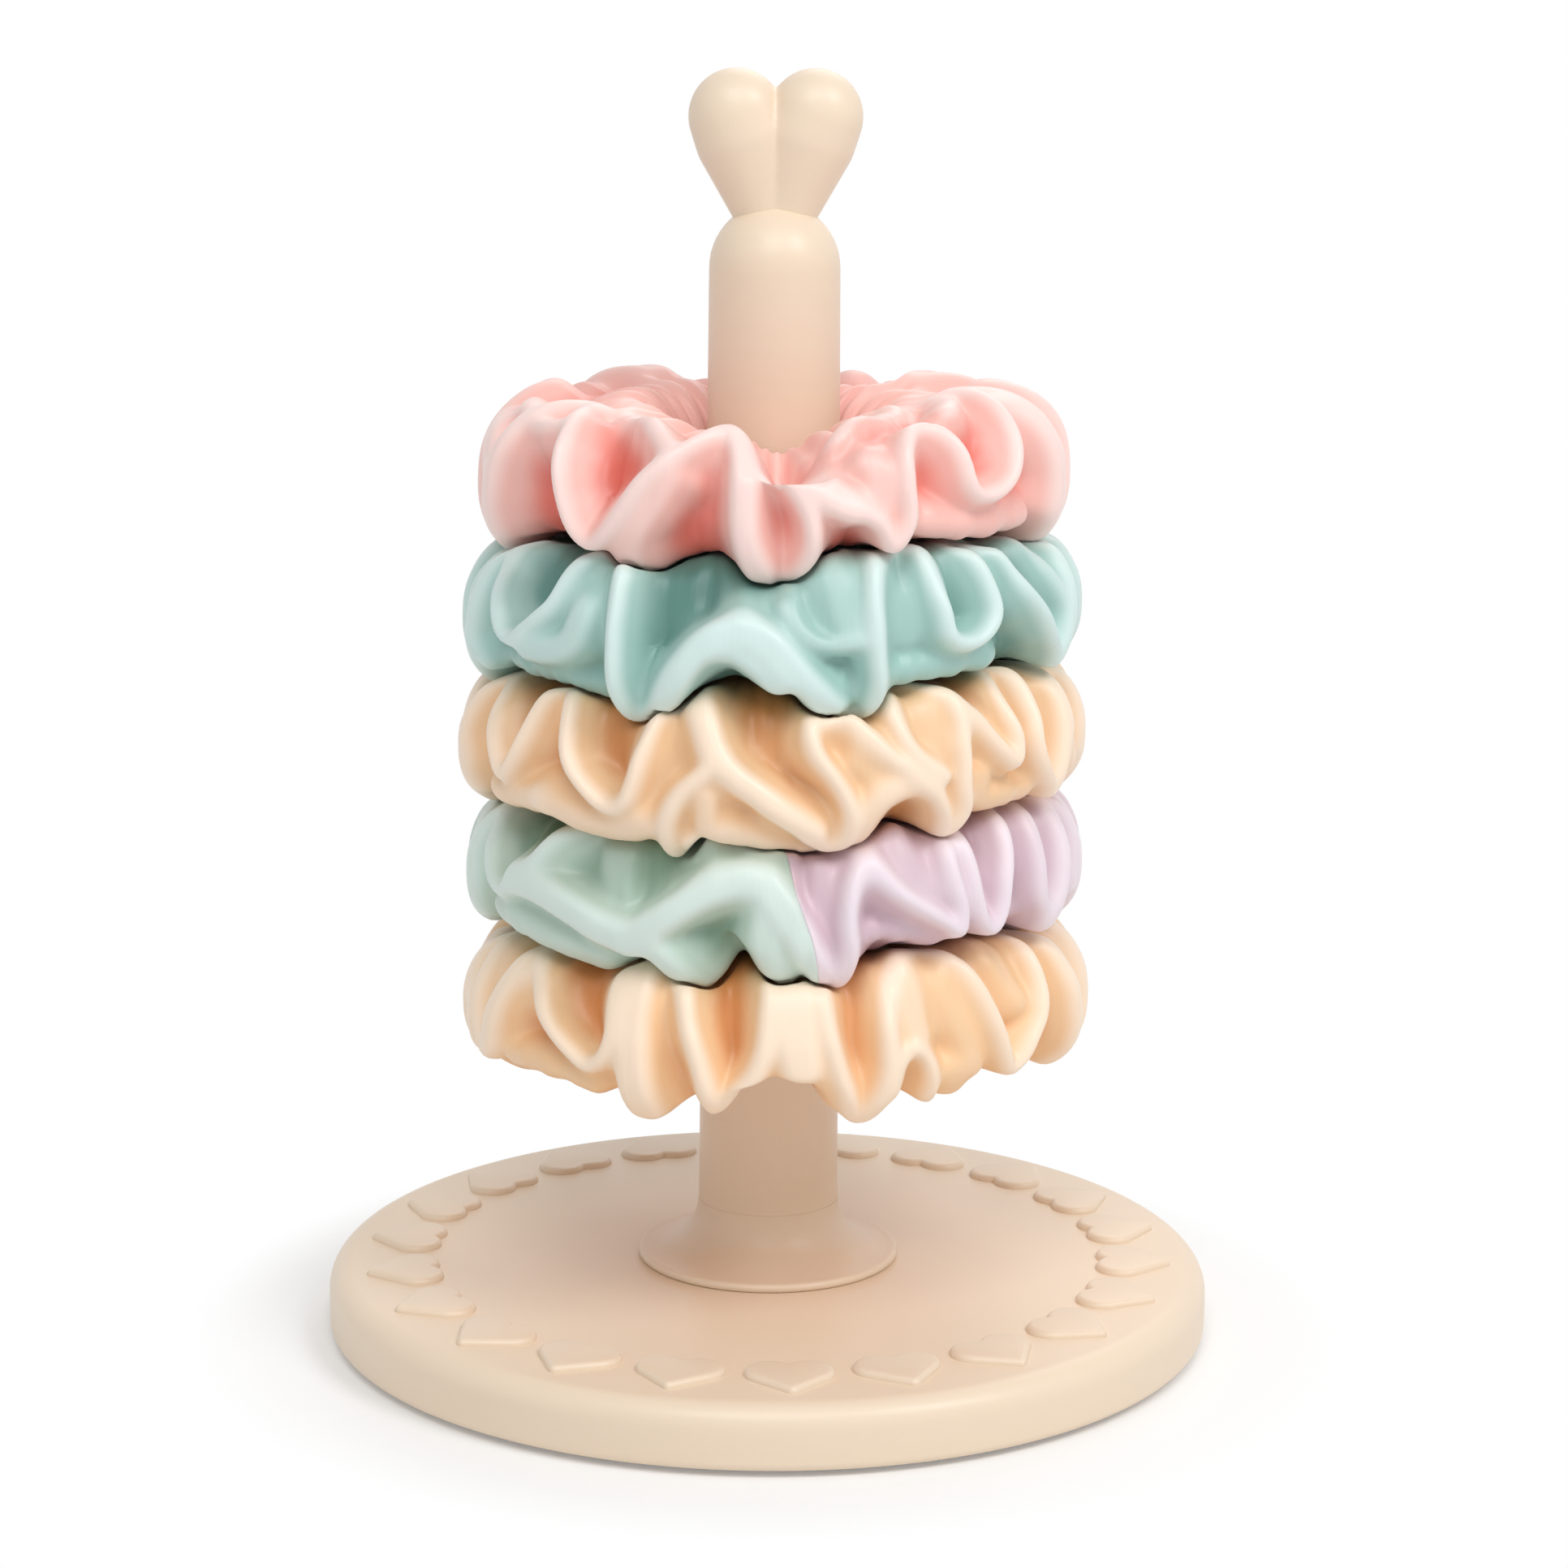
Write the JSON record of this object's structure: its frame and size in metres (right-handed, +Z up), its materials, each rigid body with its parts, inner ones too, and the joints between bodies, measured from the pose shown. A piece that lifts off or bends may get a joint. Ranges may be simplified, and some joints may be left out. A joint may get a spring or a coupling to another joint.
{
  "type": "hair tie holder",
  "caption": "Round weighted stand with a tapered post and a heart on top, holding a stack of ruffled satin hair ties that lift off over the heart.",
  "frame": {"origin": "middle of the base, on the surface that the feet rest on", "axes": "+Z up along the post; front of the heart towards -Y, so +X is to the viewer's right"},
  "size_m": [0.148, 0.148, 0.2093],
  "materials": {
    "stand_plastic": "satin cream",
    "under_cover": "matte cream",
    "steel_weight": "zinc plated plate",
    "steel_fastener": "zinc plated",
    "brass_insert": "knurled",
    "foot_rubber": "matte",
    "elastic": "braided elastic",
    "peach_satin": "satin",
    "mint_satin": "satin",
    "lilac_satin": "satin",
    "champagne_satin": "satin",
    "teal_satin": "satin",
    "pink_satin": "satin"
  },
  "bodies": {
    "stand": {"base_shell": "stand_plastic", "base_weight": "steel_weight", "base_cover": "under_cover", "cover_screws": "steel_fastener", "foot_1": "foot_rubber", "foot_2": "foot_rubber", "foot_3": "foot_rubber", "foot_4": "foot_rubber", "post": "stand_plastic", "post_plug": "under_cover", "post_insert": "brass_insert", "post_bolt": "steel_fastener", "bolt_washer": "steel_fastener", "heart_finial": "stand_plastic"},
    "peach_tie": {"peach_cover": "peach_satin", "peach_elastic": "elastic"},
    "two_tone_tie": {"mint_half": "mint_satin", "lilac_half": "lilac_satin", "two_tone_elastic": "elastic"},
    "champagne_tie": {"champagne_cover": "champagne_satin", "champagne_elastic": "elastic"},
    "teal_tie": {"teal_cover": "teal_satin", "teal_elastic": "elastic"},
    "pink_tie": {"pink_cover": "pink_satin", "pink_elastic": "elastic"}
  },
  "joints": [
    {"name": "peach_lift", "type": "slide", "parent": "stand", "child": "peach_tie", "axis": [0, 0, 1], "range_m": [0, 0.185]},
    {"name": "two_tone_lift", "type": "slide", "parent": "peach_tie", "child": "two_tone_tie", "axis": [0, 0, 1], "range_m": [0, 0.16]},
    {"name": "champagne_lift", "type": "slide", "parent": "two_tone_tie", "child": "champagne_tie", "axis": [0, 0, 1], "range_m": [0, 0.14]},
    {"name": "teal_lift", "type": "slide", "parent": "champagne_tie", "child": "teal_tie", "axis": [0, 0, 1], "range_m": [0, 0.12]},
    {"name": "pink_lift", "type": "slide", "parent": "teal_tie", "child": "pink_tie", "axis": [0, 0, 1], "range_m": [0, 0.095]}
  ]
}
